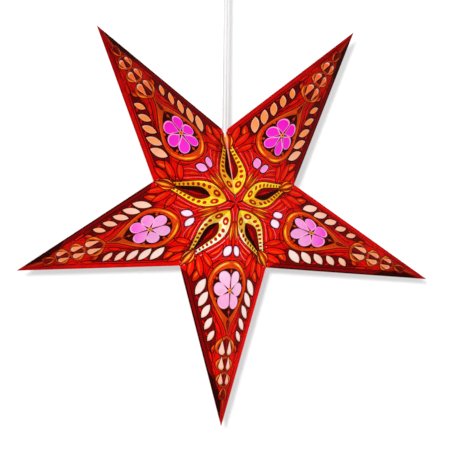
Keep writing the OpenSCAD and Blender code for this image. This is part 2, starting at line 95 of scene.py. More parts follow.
FRONT = Vector((0, -HALF_DEPTH, 0))
TIP = Vector((STAR_REACH, 0, 0))
CORNER_X = CORNER_REACH * math.cos(math.radians(HALF))
CORNER_Z = CORNER_REACH * math.sin(math.radians(HALF))
CORNER = Vector((CORNER_X, 0, CORNER_Z))
S_DIR = (TIP - FRONT).normalized()
CORNER_S = (CORNER - FRONT).dot(S_DIR)
V_DIR = ((CORNER - FRONT) - S_DIR * CORNER_S).normalized()
CORNER_V = (CORNER - FRONT).dot(V_DIR)
N_DIR = S_DIR.cross(V_DIR)
PANEL_FAR = FRONT.dot(N_DIR)
RIDGE_LEN = (TIP - FRONT).length
EDGE_LEN = (TIP - CORNER).length
VALLEY_LEN = (CORNER - FRONT).length
VALLEY_ANGLE = math.atan2(CORNER_V, CORNER_S)
EDGE_ANGLE = math.atan2(CORNER_V, RIDGE_LEN - CORNER_S)


def in_space(p, depth):
    """A point of the half panel, a depth below the printed face, in the arm's own frame."""
    return (FRONT + S_DIR * p[0] + V_DIR * p[1]) * ((PANEL_FAR - depth) / PANEL_FAR)


def by_edge(along, inward):
    """A point of the half panel, from the inner corner along the outer edge and inwards from it."""
    c, s = math.cos(EDGE_ANGLE), math.sin(EDGE_ANGLE)
    return (CORNER_S + along * c - inward * s, CORNER_V - along * s - inward * c)


def by_valley(along, inward):
    """A point of the half panel, from the front point along the valley and inwards from it."""
    c, s = math.cos(VALLEY_ANGLE), math.sin(VALLEY_ANGLE)
    return (along * c + inward * s, along * s - inward * c)


def arm_angle(i):
    """The direction of an arm, in degrees."""
    return 90 - SEAM_GAP / 2 - (i + 0.5) * STEP


def to_row(p, i):
    """A point in the frame of arm i, in millimetres, as a place in the row frame, in metres."""
    x, z = turned(p.x, p.z, arm_angle(i))
    return Vector((x, p.y, z + STAR_Z)) * MM


# Outlines on the half panel


def ellipse(cx, cy, rx, ry, count=24):
    """An ellipse round a centre, with its two radii."""
    return [
        (cx + rx * math.cos(math.tau * k / count), cy + ry * math.sin(math.tau * k / count))
        for k in range(count)
    ]


def placed(points, at, degrees):
    """The points turned about the origin and moved to a place."""
    c, s = math.cos(math.radians(degrees)), math.sin(math.radians(degrees))
    return [(at[0] + x * c - y * s, at[1] + x * s + y * c) for x, y in points]


def leaf(length, width, at, degrees, count=9):
    """Two arcs that meet in a point at both ends."""
    r = (length**2 + width**2) / (4 * width)
    sweep = math.asin(length / 2 / r)
    arc = [-sweep + 2 * sweep * k / count for k in range(count + 1)]
    upper = [(r * math.sin(a), r * math.cos(a) - r + width / 2) for a in arc]
    lower = [(-x, -y) for x, y in upper[1:-1]]
    return placed(upper[::-1] + lower[::-1], at, degrees)


def drop(length, width, at, degrees, count=14):
    """A round head at the given place, with a pointed tail behind it."""
    r = width / 2
    tail = length - r
    turn = math.acos(r / tail)
    sweep = math.pi - turn
    head = [
        (r * math.cos(-sweep + 2 * sweep * k / count), r * math.sin(-sweep + 2 * sweep * k / count))
        for k in range(count + 1)
    ]
    return placed(head + [(-tail, 0)], at, degrees)


def smooth(points, steps=5, closed=True):
    """A Catmull-Rom curve through the points."""
    n, out = len(points), []
    for k in range(n if closed else n - 1):
        if closed:
            a, b, c, d = (points[(k + j) % n] for j in (-1, 0, 1, 2))
        else:
            a, b, c, d = (points[min(max(k + j, 0), n - 1)] for j in (-1, 0, 1, 2))
        for step in range(steps):
            t = step / steps
            out.append(tuple(
                0.5 * (2 * b[m] + (c[m] - a[m]) * t + (2 * a[m] - 5 * b[m] + 4 * c[m] - d[m]) * t**2
                       + (3 * b[m] - a[m] - 3 * c[m] + d[m]) * t**3)
                for m in (0, 1)))
    return out if closed else out + [tuple(points[-1])]


def runs_left(outline):
    """True for an outline that runs counter-clockwise."""
    n = len(outline)
    return sum(outline[k - 1][0] * outline[k][1] - outline[k][0] * outline[k - 1][1] for k in range(n)) > 0


def left_turning(outline):
    """The outline, turned round where it runs clockwise."""
    return outline if runs_left(outline) else outline[::-1]


# NEARLY counts as none. The other two keep sharp corners short and fine strokes visible.
NEARLY = 0.01
SHARPEST = 0.45
THINNEST = 0.12


def swollen(outline, by):
    """The outline moved outwards by a distance at every corner."""
    n = len(outline)
    side = 1 if runs_left(outline) else -1
    out = []
    for k in range(n):
        a, b, c = Vector(outline[k - 1]), Vector(outline[k]), Vector(outline[(k + 1) % n])
        into, away = (b - a).normalized(), (c - b).normalized()
        first = Vector((into.y, -into.x)) * side
        normal = (into + away).normalized()
        normal = Vector((normal.y, -normal.x)) * side if normal.length > NEARLY else into
        moved = b + normal * (by / max(normal.dot(first), SHARPEST))
        out.append((moved.x, moved.y))
    return out


def stroke(points, widths, steps=5):
    """A brush stroke along a smooth line, with its width at each point."""
    line = smooth(points, steps, False)
    wide = [w for w, _ in smooth([(w, 0.0) for w in widths], steps, False)]
    sides = ([], [])
    for k, (p, w) in enumerate(zip(line, wide)):
        a, b = line[max(k - 1, 0)], line[min(k + 1, len(line) - 1)]
        d = Vector((b[0] - a[0], b[1] - a[1])).normalized()
        half = max(w, THINNEST) / 2
        sides[0].append((p[0] - d.y * half, p[1] + d.x * half))
        sides[1].append((p[0] + d.y * half, p[1] - d.x * half))
    return sides[0] + sides[1][::-1]


def tapered(points, width, end=0.2):
    """A stroke of one width that runs out fine at both ends."""
    return stroke(points, [end] + [width] * (len(points) - 2) + [end])


def across_ridge(points):
    """Points from ridge to ridge on one side, closed with their mirror image."""
    return points + [(s, -v) for s, v in reversed(points) if v > NEARLY]


# Cut-outs, as in the solids

PETAL_REACH, PETAL_REACH_SIDE, PETAL_HUB, PETAL_W = 29.0, 25.0, 4.5, 16.5
ROSETTE_AT = 122.0
LEAF_LEN, LEAF_W, LEAF_TAPER, LEAF_LEAN = 26.0, 10.0, 0.09, 52.0
ROW_START, ROW_PITCH, ROW_LEAVES = 34.0, 17.0, 5
DROP_START, DROP_PITCH, DROPS, DROP_LEN, DROP_W, DROP_TAPER = 207.0, 21.0, 3, 18.0, 8.0, 0.12
BUD_AT, BUD_LEN, BUD_W, BUD_LEAN = 68.0, 16.0, 9.0, 35.0

petal_cuts = []
for angle in (30, 90, 150):
    turn = math.radians(angle)
    reach = 1 / math.hypot(math.cos(turn) / PETAL_REACH, math.sin(turn) / PETAL_REACH_SIDE)
    head = (ROSETTE_AT + (reach - PETAL_W / 2) * math.cos(turn), (reach - PETAL_W / 2) * math.sin(turn))
    petal_cuts.append(drop(reach - PETAL_HUB, PETAL_W, head, angle, 22))

leaf_degrees = LEAF_LEAN - math.degrees(EDGE_ANGLE)
leaf_cuts = []
for k in range(ROW_LEAVES):
    size = 1 - k * LEAF_TAPER
    inward = EDGE_TAB + CUT_MARGIN + size * LEAF_LEN * math.sin(math.radians(LEAF_LEAN)) / 2
    at = by_edge(ROW_START + k * ROW_PITCH, inward)
    leaf_cuts.append(leaf(size * LEAF_LEN, size * LEAF_W, at, leaf_degrees))

drop_cuts = []
for k in range(DROPS):
    size = 1 - k * DROP_TAPER
    at = (DROP_START + k * DROP_PITCH, RIDGE_MARGIN + size * DROP_W / 2)
    drop_cuts.append(drop(size * DROP_LEN, size * DROP_W, at, 0))

bud_r = (BUD_LEN**2 + BUD_W**2) / (4 * BUD_W)
if BUD_LEAN > 2 * math.degrees(math.atan(BUD_W / BUD_LEN)):
    bud_across = BUD_LEN * math.sin(math.radians(BUD_LEAN)) / 2
else:
    bud_across = bud_r - (bud_r - BUD_W / 2) * math.cos(math.radians(BUD_LEAN))
bud_cut = leaf(BUD_LEN, BUD_W, (BUD_AT, RIDGE_MARGIN + bud_across), BUD_LEAN)

cuts = petal_cuts + leaf_cuts + drop_cuts + [bud_cut]

# Glue tabs, as in the solids

valley_tan = math.tan(VALLEY_ANGLE)
edge_tan = math.tan(EDGE_ANGLE)
UNDER = CARD + GLUE
TAB_BACK = UNDER + CARD
FLAP_DEPTH = UNDER + 2 * (PAD + GLUE)
FLAP_BACK = FLAP_DEPTH + CARD
FOLD_REACH = 0.25
WELD = 0.05
STRIP = (0.1, 1.0)


def tab_outline(width):
    """The tab along a valley, with slanting ends."""
    return [
        by_valley(SETBACK, -FOLD_REACH),
        by_valley(VALLEY_LEN - SETBACK, -FOLD_REACH),
        by_valley(VALLEY_LEN - SETBACK - width, width),
        by_valley(SETBACK + width / valley_tan + RIDGE_MARGIN, width),
    ]


strip_outline = [
    by_valley(SETBACK, STRIP[0]),
    by_valley(VALLEY_LEN - SETBACK, STRIP[0]),
    by_valley(VALLEY_LEN - SETBACK, STRIP[1]),
    by_valley(SETBACK, STRIP[1]),
]
edge_tab_outline = [
    by_edge(SETBACK, 0),
    by_edge(EDGE_LEN - SETBACK, 0),
    by_edge(EDGE_LEN - EDGE_TAB / edge_tan - SETBACK, EDGE_TAB),
    by_edge(SETBACK + EDGE_TAB, EDGE_TAB),
]

# Print, as flat fields of colour on one half panel, painted one over another

# Its points are drawn in millimetres along the ridge and away from it, or along an
# edge or a valley and away from that. PAST is how far a field runs over a fold, and the
# other two are how wide the pale line of a worn fold shows, worn card with a painted highlight.
PAST = 1
EDGE_FOLD_LINE = 0.5
RIDGE_FOLD_LINE = 0.16
PRINTED_LEAF_IN = 10.4
valley_degrees = math.degrees(VALLEY_ANGLE)
shapes = [("red", [(0, 0), (RIDGE_LEN, 0), (CORNER_S, CORNER_V)])]


def paint(ink, outline):
    """A field of one ink over what is painted before it."""
    shapes.append((ink, outline))


def lined(ink, outline, width=1.0, line="dark"):
    """A field with a line round it."""
    paint(line, swollen(outline, width))
    paint(ink, outline)


def along_edge(points):
    """Points given along the outer edge and inwards from it."""
    return [by_edge(a, w) for a, w in points]


def along_valley(points):
    """Points given along the valley and inwards from it."""
    return [by_valley(u, w) for u, w in points]


def petal(base, length, width, degrees, fill="orange", light="amber", line=1.0):
    """A pointed petal that grows from its base, with a light streak along one side."""
    turn = math.radians(degrees)
    c, s = math.cos(turn), math.sin(turn)
    middle = (base[0] + length / 2 * c, base[1] + length / 2 * s)
    lined(fill, leaf(length, width, middle, degrees, 7), line)
    ahead, aside = length * 0.06, width * 0.14
    streak = (middle[0] + ahead * c - aside * s, middle[1] + ahead * s + aside * c)
    paint(light, leaf(length * 0.62, width * 0.26, streak, degrees, 5))


# Crimson towards the tip as painted shade, and a fine line beside each edge

paint("crimson", along_edge([(140, -1), (160, 8)]) + [(258, 6), (250, 0), (258, -6), (330, -6), (330, 5)])
paint("crimson", stroke(along_edge([(2, 2.2), (20, 1.8), (70, 1.4), (150, 1.4)]), [0.3, 2.6, 3.0, 3.0]))
paint("maroon", tapered(along_edge([(10, 8.2), (60, 7.6), (120, 7.6), (190, 6.4)]), 0.8))

# Echo of the ogee

ogee = smooth(
    [(80, 0), (83, 11), (90, 21.6), (100, 30.2), (111, 34.8), (122, 35), (132, 31.6), (142, 26.2),
     (152, 19.8), (161, 12.8), (169, 6.8), (177, 2.8), (186, 0)], 4, False)
ogee_inside = smooth(
    [(91, 0), (93, 9), (98.5, 18), (107, 24.6), (117, 27.4), (127, 26.8), (137, 22.6), (146, 16.2),
     (154, 8.4), (160, 0)], 4, False)
paint("maroon", swollen(across_ridge(ogee), 4.6))
paint("bright", swollen(across_ridge(ogee), 3.8))

# Dark field round the row of leaves, with a printed leaf at each end of the row

row_field = along_edge(smooth(
    [(9, 24), (12, 15), (20, 11.2), (40, 10.6), (70, 10.4), (100, 10.6), (118, 11.6), (131, 14),
     (118, 23), (106, 28), (92, 31), (74, 33.6), (56, 35.8), (38, 38), (24, 39), (13, 34)], 4))
paint("dark", swollen(row_field, 2.4))
paint("red", swollen(row_field, 1.5))
paint("maroon", row_field)
for cut in leaf_cuts:
    paint("dark", swollen(cut, 2.3))
for k, size in ((-1, 0.92), (ROW_LEAVES, 0.52)):
    at = by_edge(ROW_START + k * ROW_PITCH, EDGE_TAB + CUT_MARGIN + size * PRINTED_LEAF_IN)
    lined("ember", leaf(size * LEAF_LEN, size * LEAF_W, at, leaf_degrees), 1.4)
    streak = (at[0] - 0.6, at[1] + 0.8)
    paint("flame", leaf(size * LEAF_LEN * 0.6, size * LEAF_W * 0.3, streak, leaf_degrees, 5))
for k in range(ROW_LEAVES - 1):
    at = by_edge(ROW_START + (k + 0.8) * ROW_PITCH, 14.4)
    paint("red", placed(ellipse(0, 0, 2.8, 1.2, 12), at, -42))

# Ribbon in the shape of an ogee round the rosette

lined("orange", across_ridge(ogee), 1.5)
paint("ember", stroke([(82, 2), (88, 13), (96, 22.4), (107, 29), (120, 30.4), (134, 25), (148, 15)],
                      [2.0, 5.6, 5.6, 4.6, 3.4, 2.2, 0.4]))
paint("flame", stroke([(84, 3), (89, 14), (97, 24), (108, 30.6), (120, 32)], [0.8, 2.8, 3.0, 1.8, 0.3]))
paint("amber", stroke([(83, 3), (86.4, 11.4), (93, 21), (101, 27.4)], [0.3, 2.0, 2.2, 0.3]))
paint("yellow", tapered([(84.8, 8), (89, 15.4), (94, 20.8)], 1.1))
paint("flame", stroke([(128, 31.4), (137, 27.4), (147, 21.2), (157, 13.8), (166, 7.4)],
                      [0.3, 1.2, 1.5, 1.2, 0.3]))
for s, v, r in ((97.4, 19.6, 1.0), (103.4, 24.2, 1.1), (110.6, 27.2, 1.1), (118.4, 28.4, 1.0),
                (126, 27.2, 0.9)):
    paint("maroon", ellipse(s, v, r * 1.3, r * 0.8, 10))
lined("dark", across_ridge(ogee_inside), 0.6, "maroon")
for angle in (60, 120):
    turn = math.radians(angle)
    paint("orange", ellipse(ROSETTE_AT + 28.6 * math.cos(turn), 26 * math.sin(turn), 1.9, 1.9, 12))
for at in (ROSETTE_AT - 27.4, ROSETTE_AT + 29.5):
    paint("orange", ellipse(at, 0, 2.4, 1.7, 14))
paint("amber", ellipse(ROSETTE_AT, 0, 3.2, 3.2, 16))
paint("bead", ellipse(ROSETTE_AT, 0, 1.7, 1.7, 12))
lined("maroon", across_ridge(smooth([(161, 0), (165, 2.6), (170, 2.2), (180, 0)], 4, False)), 0.5)

# Chain of loops round the drops, from two crossing ribbons

loops = ((185, 213.3, 15.2), (213.3, 234.4, 13.2), (234.4, 255.5, 11.4), (255.5, 274, 5.0))
for low, high, wide in loops:
    long = high - low
    line = [(low, -0.8), (low + 0.16 * long, wide * 0.42), (low + 0.44 * long, wide * 0.92),
            (low + 0.72 * long, wide), (low + 0.92 * long, wide * 0.56), (high, -0.8)]
    paint("maroon", [line[0]] + smooth(line, 4, False) + [line[-1]])
    broad = 0.24 * wide + 0.6
    lined("orange", stroke(line, [0.6 * broad, broad, 1.2 * broad, broad, 0.8 * broad, 0.6 * broad]), 0.9)
    paint("amber", tapered([(s, v + 0.25 * broad) for s, v in line[1:4]], 0.38 * broad))
lined("orange", stroke([(273, 0), (284, 0), (298, 0)], [3.0, 1.8, 0.2]), 0.8, "maroon")
for cut in drop_cuts:
    paint("dark", swollen(cut, 1.7))

# Leaves beside the loops

for s, v, length, lean in ((176, 15.4, 17, -27), (217, 24.2, 16, -23), (236, 17.6, 14, -22),
                           (254, 11.6, 12, -21), (270, 6.4, 9, -20)):
    c, d = math.cos(math.radians(lean)), math.sin(math.radians(lean))
    petal((s - length / 2 * c, v - length / 2 * d), length, length * 0.3, lean, "bright", "ember", 0.8)
for line, wide in (
        ([(150, 27), (164, 19), (178, 11), (192, 6)], 1.5),
        ([(160, 29), (172, 22), (186, 17.6), (200, 19)], 1.2),
        ([(186, 22), (200, 25), (216, 22), (232, 15)], 1.4),
        ([(232, 20.6), (246, 15.6), (260, 10.4), (276, 6)], 1.3),
        ([(262, 12.6), (274, 8.4), (288, 3.6)], 1.4)):
    paint("dark", tapered(line, wide))
for line in ([(154, 29.4), (166, 22.4), (180, 14.6)], [(204, 23.4), (218, 18.6), (228, 13.2)],
             [(250, 17), (262, 12)]):
    paint("bright", tapered(line, 1.0))

# Pointed field with a beaded golden band across each valley

band_out = [(15, 0), (20, 7), (29, 13.8), (41, 18.2), (54, 18.2), (67, 15.4), (80, 11.4), (92, 7.8),
            (104, 4.6), (114, 2.2), (120, 0)]
band_in = [(41, 0), (45, 4.4), (51.5, 7.8), (60, 8.4), (70, 6.6), (80, 4.5), (92, 2.1), (101, 0)]
beads = ((43, 12.4, 2.5), (51.8, 13.2, 2.4), (60.4, 12.6, 2.2), (68.6, 11, 2.0), (76.2, 8.9, 1.8),
         (83.2, 7.2, 1.6), (89.6, 5.6, 1.4), (95.6, 4, 1.2))


def valley_field(points):
    """A field along the valley, from one point on it to another."""
    line = smooth(points, 4, False)
    return along_valley([(points[0][0], -0.6)] + line + [(points[-1][0], -0.6)])


# Lobe and petal that grow from behind the band

lobe = [(61, 16.6), (69, 20.6), (76, 28), (79.6, 38)]
lined("bright", stroke(lobe, [1.6, 7.4, 8.4, 1.2]), 1.2)
paint("crimson", tapered([(63, 16.6), (70.4, 20.2), (77.4, 28), (80, 36)], 2.6, 0.3))
paint("orange", tapered([(65.4, 19.4), (70.4, 23.2), (74.2, 29), (76.4, 34)], 1.5, 0.3))
paint("blush", tapered([(61, 13.4), (71, 17.4), (79.6, 25), (84, 33)], 0.7))
petal((54, 17.2), 24, 7.6, 66, "bright", "orange", 1.3)

# The band and the field inside it

for rim_ink, by in (("blush", 5.2), ("bright", 4.6), ("maroon", 3.0), ("bright", 2.3)):
    paint(rim_ink, swollen(valley_field(band_out), by))
lined("yellow", valley_field(band_out), 1.3)
paint("gold", valley_field(
    [(41, 0), (38, 6), (44, 8.4), (51, 10.2), (60, 10.8), (72, 8.2), (84, 5.2), (100, 0)]))
lined("deep", valley_field(band_in), 0.9)
for u, w, r in beads:
    at = by_valley(u, w)
    lined("bead", ellipse(*at, r, r, 14), 0.45, "maroon")
at = by_valley(30.5, 6.4)
lined("bead", placed(ellipse(0, 0, 5.2, 3.9, 20), at, valley_degrees - 20), 0.8, "maroon")
paint("yellow", placed(ellipse(0.6, 0, 2.0, 1.4, 12), at, valley_degrees - 20))
paint("dark", valley_field([(0, 0), (5, 1.0), (11, 1.3), (17, 0)]))
paint("crimson", valley_field([(52, 0), (58, 2.6), (66, 2.4), (76, 0)]))

# Fan of petals in the corner

for u, w, length, width, lean in ((88, 10.8, 25.8, 9.2, -80), (97, 8.4, 30.2, 10.4, -54),
                                  (104, 5.4, 30.6, 10, -28)):
    petal(by_valley(u, w), length, width, valley_degrees + lean, "bright", "orange", 1.5)
side_leaf = [(97, 1.6), (104, 4.6), (112, 5.8), (121, 4.4)]
lined("ember", stroke(along_valley(side_leaf), [1.2, 4.6, 4.2, 0.3]), 1.1)
paint("gold", tapered(along_valley([(101, 4.2), (107, 6.4), (115, 6.6)]), 1.5, 0.3))
lined("orange", valley_field([(96, 0), (104, 2.6), (113, 3.6), (121, 2.4), (129.5, 0)]), 1.1)
paint("gold", valley_field([(103, 0), (109, 1.3), (114, 1.5), (119, 1.0), (125, 0)]))

# Round the bud and the front point

lined("dark", swollen(bud_cut, 2.2), 0.8, "maroon")
petal((27, 2.2), 27, 6.4, 7, "orange", "gold", 0.9)
paint("maroon", tapered([(10, 0.4), (20, 1.0), (34, 0.8)], 1.2))
paint("blush", tapered([(26, 9.6), (38, 12.4), (50, 15.4)], 0.8))
for line, wide in (
        ([(78, 6), (80.6, 16), (86, 26), (93, 33), (102, 37.6)], 1.3),
        ([(34, 3.2), (46, 3.4), (58, 2.6), (66, 1.2)], 1.1),
        ([(40, 9.6), (50, 12.2), (59, 12.6)], 1.2)):
    paint("dark", tapered(line, wide))
for line in ([(76.6, 3), (78.6, 13), (82.6, 21.4)], [(48, 8.4), (56, 9.4), (61, 8.6)]):
    paint("pale_print_worn_fold_highlight", tapered(line, 0.9))

# Pale line round each cut-out as painted light, and the worn folds with a painted highlight

# These rims stand in for the brighter glow at the border of each window: painted light.
for cut in petal_cuts + [bud_cut]:
    paint("pink", swollen(cut, 0.9))
for cut in leaf_cuts + drop_cuts:
    paint("peach", swollen(cut, 0.7))
# A pale line on the outer fold and on the ridge: worn card, and a painted highlight on the rounded fold.
paint("worn_fold_highlight_seam_glow", along_edge([(0, -PAST), (EDGE_LEN, -PAST), (EDGE_LEN, EDGE_FOLD_LINE), (0, EDGE_FOLD_LINE)]))
paint("pale_print_worn_fold_highlight", [(0, -PAST), (RIDGE_LEN, -PAST), (RIDGE_LEN, RIDGE_FOLD_LINE), (0, RIDGE_FOLD_LINE)])


NOTCH_SIDES = 40


def notch_outline(depth):
    """The cut for the cord in the upper inner corner, on the panel next to the seam."""
    x, z = turned(0, 1, -arm_angle(0))
    axis = Vector((x, 0, z))
    out = []
    for k in range(NOTCH_SIDES):
        angle = math.tau * k / NOTCH_SIDES
        x, z = turned(CORD_CUT * math.cos(angle), 0, -arm_angle(0))
        start = Vector((x, CORD_CUT * math.sin(angle), z))
        p = start + axis * ((PANEL_FAR - depth - start.dot(N_DIR)) / axis.dot(N_DIR)) - FRONT
        out.append((p.dot(S_DIR), p.dot(V_DIR)))
    return out


# Where a tab darkens the card in front of it: painted shade, which along the edge runs on to the corner.
EDGE_SHADE_START = 1.5
edge_shade_zone = [
    by_edge(EDGE_SHADE_START, 0),
    edge_tab_outline[1],
    edge_tab_outline[2],
    by_edge(EDGE_SHADE_START + EDGE_TAB, EDGE_TAB),
]
ZONES = {"edge": edge_shade_zone, "valley": tab_outline(VALLEY_TAB), "flap": tab_outline(FLAP)}

# The triangles keep to the inside of the outlines, and points closer than JOINED are one.
KEEP_INSIDE = 1
JOINED = 1e-4


def half_panel(extra_cuts=()):
    """Triangles of the half panel with the ink and the zones of each."""
    layers = shapes + [("cut", c) for c in cuts + list(extra_cuts)] + list(ZONES.items())
    points, faces = [], []
    for _, outline in layers:
        faces.append(list(range(len(points), len(points) + len(outline))))
        points += [Vector(p) for p in left_turning(outline)]
    places, _, triangles, _, _, sources = delaunay_2d_cdt(points, [], faces, KEEP_INSIDE, JOINED)
    kept = []
    for triangle, under in zip(triangles, sources):
        names = [layers[k][0] for k in sorted(under)]
        if 0 not in under or "cut" in names:
            continue
        ink = [name for name in names if name not in ZONES][-1]
        kept.append((tuple(triangle), ink, {name for name in names if name in ZONES}))
    return [(p.x, p.y) for p in places], kept


PLAIN = half_panel()
NOTCHED = half_panel([notch_outline(0)])
INKS = ("red", "bright", "crimson", "maroon", "deep", "dark", "orange", "flame", "amber", "gold", "yellow",
        "bead", "ember", "pink", "peach", "blush", "worn_fold_highlight_seam_glow", "pale_print_worn_fold_highlight", "inside", "cut_edge")

# Less light comes through over a tab: the share of it, and a darker ink painted there as shade,
# the last table over the tab along the edge and SHADED over the others.
TAB_GLOW = 0.28
GOLDEN_TAB_GLOW = {"yellow": 0.78, "gold": 0.7, "amber": 0.55, "flame": 0.4, "orange": 0.3, "bead": 0.4}
SHADED = {"yellow": "gold", "gold": "amber", "deep": "dark", "crimson": "maroon"}
EDGE_TAB_SHADE_INKS = {"red": "crimson", "bright": "red", "crimson": "dark", "maroon": "dark"}


def mirrored(p, face, side):
    """A point on the front or the back, on one side of the ridge or the other."""
    return Vector((p.x, p.y * face, p.z * side))


class Sheets:
    """Collects the vertices, faces, inks and glow of one arm."""

    def __init__(self):
        self.points, self.faces, self.inks, self.glow = [], [], [], []

    def add(self, points, faces, inks, glow, flip):
        """Some faces with their inks and glow, turned over where flip says so."""
        start = len(self.points)
        self.points += points
        for face, ink, share in zip(faces, inks, glow):
            ring = face[::-1] if flip else face
            self.faces.append([start + k for k in ring])
            self.inks.append(INKS.index(ink))
            self.glow.append(share)

    def skin(self, arm, face, side):
        """One half panel: printed face, inner face and the walls of its cut-outs."""
        places, kept = NOTCHED if (arm, side) in ((0, 1), (len(ARMS) - 1, -1)) else PLAIN
        n = len(places)
        points = [
            to_row(mirrored(in_space(p, depth), face, side), arm) for depth in (0, CARD) for p in places
        ]
        dim = set()
        if face == 1 and side == -1:
            dim.add("edge")
        if side == 1 and arm > 0:
            dim.add("valley")
        if side == -1 and arm == len(ARMS) - 1:
            dim.add("flap")
        faces, inks, glow, rims = [], [], [], {}
        for (a, b, c), ink, zones in kept:
            faces += [(a, b, c), (n + c, n + b, n + a)]
            # Over a tab that dims this half, a darker ink is painted as shade.
            if zones & dim:
                shown = EDGE_TAB_SHADE_INKS.get(ink, ink) if "edge" in zones & dim else SHADED.get(ink, ink)
            else:
                shown = ink
            inks += [shown, "inside"]
            glow += [GOLDEN_TAB_GLOW.get(ink, TAB_GLOW) if zones & dim else 1.0, 1.0]
            for p, q in ((a, b), (b, c), (c, a)):
                if (q, p) in rims:
                    del rims[(q, p)]
                else:
                    rims[(p, q)] = True
        for p, q in rims:
            on_ridge = all(abs(places[k][1]) < NEARLY for k in (p, q))
            on_edge = all(abs(edge_distance(places[k])) < NEARLY for k in (p, q))
            if not (on_ridge or on_edge):
                faces.append((p, n + p, n + q, q))
                inks.append("cut_edge")
                glow.append(1.0)
        self.add(points, faces, inks, glow, face * side < 0)

    def sheet(self, outline, depth_0, depth_1, arm, face, side, ink="inside"):
        """A flat tab between two depths."""
        points = [
            to_row(mirrored(in_space(p, depth), face, side), arm)
            for depth in (depth_0, depth_1) for p in left_turning(outline)
        ]
        self.block(points, len(outline), face * side < 0, ink)

    def block(self, points, n, flip, ink="inside"):
        """A closed block between two outlines of n points each."""
        faces = [tuple(range(n)), tuple(range(2 * n - 1, n - 1, -1))]
        faces += [(k, n + k, n + (k + 1) % n, (k + 1) % n) for k in range(n)]
        self.add(points, faces, [ink] * len(faces), [1.0] * len(faces), flip)


def edge_distance(p):
    """How far a point of the half panel lies from the outer edge."""
    c, s = math.cos(EDGE_ANGLE), math.sin(EDGE_ANGLE)
    return (p[0] - CORNER_S) * s + (p[1] - CORNER_V) * c


# Corners closer than this, in metres, are one.
SAME_PLACE = 2e-6


def add_object(name, data):
    """A new object in the scene."""
    thing = bpy.data.objects.new(name, data)
    bpy.context.scene.collection.objects.link(thing)
    return thing


def arm_object(i):
    """One arm: its four half panels, its glue tabs and, on the first, the closing flaps."""
    sheets = Sheets()
    for face in (1, -1):
        for side in (1, -1):
            sheets.skin(i, face, side)
        if i < len(ARMS) - 1:
            sheets.sheet(strip_outline, CARD / 2, TAB_BACK + WELD, i, face, -1)
            sheets.sheet(tab_outline(VALLEY_TAB), UNDER, TAB_BACK, i + 1, face, 1)
        if i == 0:
            sheets.sheet(strip_outline, CARD / 2, FLAP_BACK + WELD, 0, face, 1)
            # The flap and its bridge show through the seam as a pale glow, painted light.
            sheets.sheet(tab_outline(FLAP), FLAP_DEPTH, FLAP_BACK, len(ARMS) - 1, face, -1, "worn_fold_highlight_seam_glow")
            ends = (SETBACK, VALLEY_LEN - SETBACK)
            near = [by_valley(u, FOLD_REACH) for u in ends]
            bridge = []
            for depth in (FLAP_DEPTH, FLAP_BACK):
                own = [to_row(mirrored(in_space(p, depth), face, 1), 0) for p in near]
                bridge += own + [Vector((-p.x, p.y, p.z)) for p in reversed(own)]
            sheets.block(bridge, 4, face > 0, "worn_fold_highlight_seam_glow")
    sheets.sheet(edge_tab_outline, CARD / 2, 2 * CARD, i, 1, -1)

    mesh = bpy.data.meshes.new("printed_arm_" + ARMS[i])
    mesh.from_pydata([tuple(p) for p in sheets.points], [], sheets.faces)
    mesh.polygons.foreach_set("material_index", sheets.inks)
    share = mesh.attributes.new("glow_share", "FLOAT", "FACE")
    share.data.foreach_set("value", sheets.glow)
    for ink in INKS:
        mesh.materials.append(paper[ink])
    bm = bmesh.new()
    bm.from_mesh(mesh)
    bmesh.ops.remove_doubles(bm, verts=bm.verts, dist=SAME_PLACE)
    loose = [v for v in bm.verts if not v.link_faces]
    bmesh.ops.delete(bm, geom=loose, context="VERTS")
    bm.to_mesh(mesh)
    bm.free()
    arm = add_object("printed_arm_" + ARMS[i], mesh)
    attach(arm, "root")
    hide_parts("arm_" + ARMS[i])


# Paper materials

# Each glows with the light of the bulb, paler near it. The middle of the glow is the bulb for
# the golden inks, and lower for reds and windows, because the lampholder shades the upper
# arms. Stops are distances from that middle, in metres.
BULB_AT = (-0.006, -0.004, -0.377)
PETALS_AT = (-0.004, -0.004, -0.395)
WINDOWS_AT = (0, 0, -0.42)
REDS_AT = (0, 0, -0.45)
GLOW_NEAR = 0.05
GLOW_FAR = 0.34
LIT_LEVEL = 0.9
HOT_STOPS = (0.053, 0.068)
INK_STOPS = (0.085, 0.18, 0.31)
RED_STOPS = (0.075, 0.16, 0.33)
BRUSHED = 0.16


def linear(srgb):
    """A colour of 0 to 255 as linear values."""
    out = []
    for c in srgb:
        c = c / 255
        out.append(c / 12.92 if c <= 0.04045 else ((c + 0.055) / 1.055) ** 2.4)
    return out


def new_material(name):
    """A material with its node tree and its shader."""
    m = bpy.data.materials.new(name)
    m.use_nodes = True
    t = m.node_tree
    return m, t, t.nodes["Principled BSDF"]


def math_node(t, operation, a, b=None):
    """One operation on numbers or on the outputs of other nodes."""
    n = t.nodes.new("ShaderNodeMath")
    n.operation = operation
    for socket, value in zip(n.inputs, (a, b)):
        if value is None:
            continue
        if isinstance(value, (int, float)):
            socket.default_value = value
        else:
            t.links.new(value, socket)
    return n.outputs[0]


def noise_node(t, coords, scale, detail=3.0, stretch=None, distortion=0.0):
    """Noise of a scale, stretched where given, as a value of 0 to 1."""
    if stretch:
        mapping = t.nodes.new("ShaderNodeMapping")
        mapping.inputs["Scale"].default_value = stretch
        t.links.new(coords, mapping.inputs["Vector"])
        coords = mapping.outputs[0]
    n = t.nodes.new("ShaderNodeTexNoise")
    n.inputs["Scale"].default_value = scale
    n.inputs["Detail"].default_value = detail
    n.inputs["Distortion"].default_value = distortion
    t.links.new(coords, n.inputs["Vector"])
    return n.outputs["Fac"]


